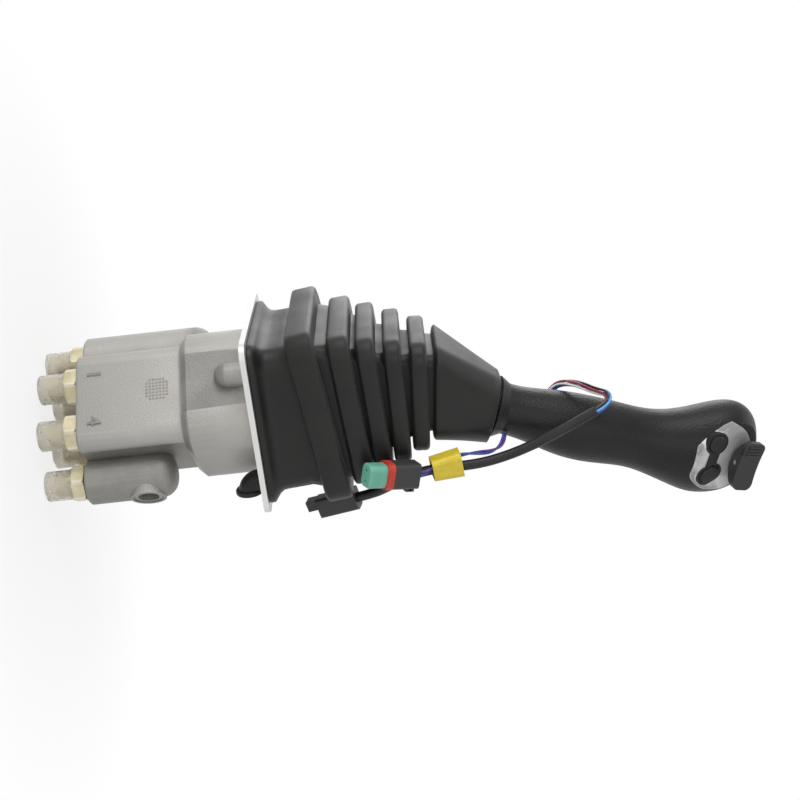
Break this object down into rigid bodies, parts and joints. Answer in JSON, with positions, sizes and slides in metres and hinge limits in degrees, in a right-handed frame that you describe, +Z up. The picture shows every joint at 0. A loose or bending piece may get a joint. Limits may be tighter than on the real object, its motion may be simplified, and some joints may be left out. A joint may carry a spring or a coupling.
{
  "type": "hydraulic pilot joystick valve",
  "caption": "Hydraulic pilot control valve with a square mounting plate, capped lower ports, a bellows boot, a bent lever and a hand grip with thumb rocker and buttons.",
  "frame": {"origin": "centre of the mounting plate's underside", "axes": "+Z up along the valve axis towards the lever, X and Y along the sides of the square plate, -Y towards the operator, lever bent towards +X"},
  "size_m": [0.1391, 0.1122, 0.4073],
  "materials": {
    "cast_aluminium": "sand cast, satin",
    "zinc_plate": "bright zinc plated",
    "steel": "machined",
    "spring_steel": "oiled wire",
    "yellow_zinc": "yellow passivated",
    "bonded_rubber": "matt",
    "cap_plastic": "translucent cream",
    "black_rubber": "matt",
    "brass": "turned",
    "black_plastic": "fine grain",
    "silver_plastic": "satin silver paint",
    "green_board": "solder mask",
    "grey_sleeve": "woven sleeve",
    "wire_colours": "coloured wire insulation",
    "yellow_tape": "vinyl tape",
    "red_seal": "silicone",
    "green_wedge": "moulded"
  },
  "bodies": {
    "valve": {"port_block": "cast_aluminium", "casing": "cast_aluminium", "chamber_seal_rings": "bonded_rubber", "block_bolts": "steel", "mounting_plate": "zinc_plate", "plate_screws": "steel", "port_seals": "bonded_rubber", "port_fittings": "yellow_zinc", "cable_spout": "black_rubber", "rod_guide_plugs": "brass", "plug_seal_rings": "bonded_rubber", "rod_wipers": "bonded_rubber", "joint_base": "steel", "boot": "black_rubber", "return_spring_1": "spring_steel", "balance_spring_1": "spring_steel", "return_spring_2": "spring_steel", "balance_spring_2": "spring_steel", "return_spring_3": "spring_steel", "balance_spring_3": "spring_steel", "return_spring_4": "spring_steel", "balance_spring_4": "spring_steel"},
    "cross": {"joint_cross": "steel"},
    "lever": {"joint_yoke": "steel", "swash_disc": "steel", "disc_nut": "steel", "lever_lock_nut": "steel", "lever_stem": "steel", "grip_insert": "steel", "grip": "black_plastic", "switch_panel": "silver_plastic", "button_bezel": "black_rubber", "switch_board": "green_board", "microswitches": "black_plastic", "rocker_bracket": "black_plastic", "rocker_pin": "steel", "wire_bundle": "wire_colours", "harness_sleeve": "grey_sleeve", "signal_pair": "wire_colours", "label_tape": "yellow_tape", "connector_a_housing": "black_plastic", "connector_a_seal": "red_seal", "connector_a_wedge": "green_wedge", "connector_b": "black_plastic"},
    "caps": {"dust_caps": "cap_plastic"},
    "upper_button": {"upper_button": "black_rubber"},
    "lower_button": {"lower_button": "black_rubber"},
    "thumb_rocker": {"thumb_rocker": "black_plastic"},
    "rod_1": {"push_rod_1": "steel", "spring_seat_1": "steel"},
    "spool_1": {"spool_1": "steel"},
    "rod_2": {"push_rod_2": "steel", "spring_seat_2": "steel"},
    "spool_2": {"spool_2": "steel"},
    "rod_3": {"push_rod_3": "steel", "spring_seat_3": "steel"},
    "spool_3": {"spool_3": "steel"},
    "rod_4": {"push_rod_4": "steel", "spring_seat_4": "steel"},
    "spool_4": {"spool_4": "steel"}
  },
  "joints": [
    {"name": "tilt_x", "type": "hinge", "parent": "valve", "child": "cross", "pos_m": [0, 0, 0.015], "axis": [1, 0, 0], "range_deg": [-19, 19], "stiffness_Nm_per_rad": 1.2, "deforming": ["boot"]},
    {"name": "tilt_y", "type": "hinge", "parent": "cross", "child": "lever", "pos_m": [0, 0, 0.015], "axis": [0, 1, 0], "range_deg": [-19, 19], "stiffness_Nm_per_rad": 1.2},
    {"name": "rod_1_travel", "type": "slide", "parent": "valve", "child": "rod_1", "axis": [0, 0, 1], "range_m": [-0.0067, 0.0067], "deforming": ["return_spring_1", "balance_spring_1"]},
    {"name": "spool_1_travel", "type": "slide", "parent": "valve", "child": "spool_1", "axis": [0, 0, 1], "range_m": [-0.0014, 0.0014]},
    {"name": "rod_2_travel", "type": "slide", "parent": "valve", "child": "rod_2", "axis": [0, 0, 1], "range_m": [-0.0067, 0.0067], "deforming": ["return_spring_2", "balance_spring_2"]},
    {"name": "spool_2_travel", "type": "slide", "parent": "valve", "child": "spool_2", "axis": [0, 0, 1], "range_m": [-0.0014, 0.0014]},
    {"name": "rod_3_travel", "type": "slide", "parent": "valve", "child": "rod_3", "axis": [0, 0, 1], "range_m": [-0.0067, 0.0067], "deforming": ["return_spring_3", "balance_spring_3"]},
    {"name": "spool_3_travel", "type": "slide", "parent": "valve", "child": "spool_3", "axis": [0, 0, 1], "range_m": [-0.0014, 0.0014]},
    {"name": "rod_4_travel", "type": "slide", "parent": "valve", "child": "rod_4", "axis": [0, 0, 1], "range_m": [-0.0067, 0.0067], "deforming": ["return_spring_4", "balance_spring_4"]},
    {"name": "spool_4_travel", "type": "slide", "parent": "valve", "child": "spool_4", "axis": [0, 0, 1], "range_m": [-0.0014, 0.0014]},
    {"name": "upper_button_press", "type": "slide", "parent": "lever", "child": "upper_button", "axis": [-0.117, 0.9397, -0.3214], "range_m": [0, 0.0016], "stiffness_N_per_m": 600, "springref_m": -0.0008},
    {"name": "lower_button_press", "type": "slide", "parent": "lever", "child": "lower_button", "axis": [-0.117, 0.9397, -0.3214], "range_m": [0, 0.0016], "stiffness_N_per_m": 600, "springref_m": -0.0008},
    {"name": "rocker_tilt", "type": "hinge", "parent": "lever", "child": "thumb_rocker", "pos_m": [0.06543, -0.01595, 0.27389], "axis": [0.3214, 0.342, 0.883], "range_deg": [-12, 12], "stiffness_Nm_per_rad": 0.15},
    {"name": "caps_off", "type": "slide", "parent": "valve", "child": "caps", "axis": [0, 0, -1], "range_m": [0, 0.02]}
  ],
  "couplings": [
    {"joint": "rod_1_travel", "follows": "tilt_y", "m_per_rad": 0.02},
    {"joint": "spool_1_travel", "follows": "tilt_y", "m_per_rad": 0.004},
    {"joint": "rod_2_travel", "follows": "tilt_x", "m_per_rad": 0.02},
    {"joint": "spool_2_travel", "follows": "tilt_x", "m_per_rad": 0.004},
    {"joint": "rod_3_travel", "follows": "tilt_y", "m_per_rad": -0.02},
    {"joint": "spool_3_travel", "follows": "tilt_y", "m_per_rad": -0.004},
    {"joint": "rod_4_travel", "follows": "tilt_x", "m_per_rad": -0.02},
    {"joint": "spool_4_travel", "follows": "tilt_x", "m_per_rad": -0.004}
  ]
}
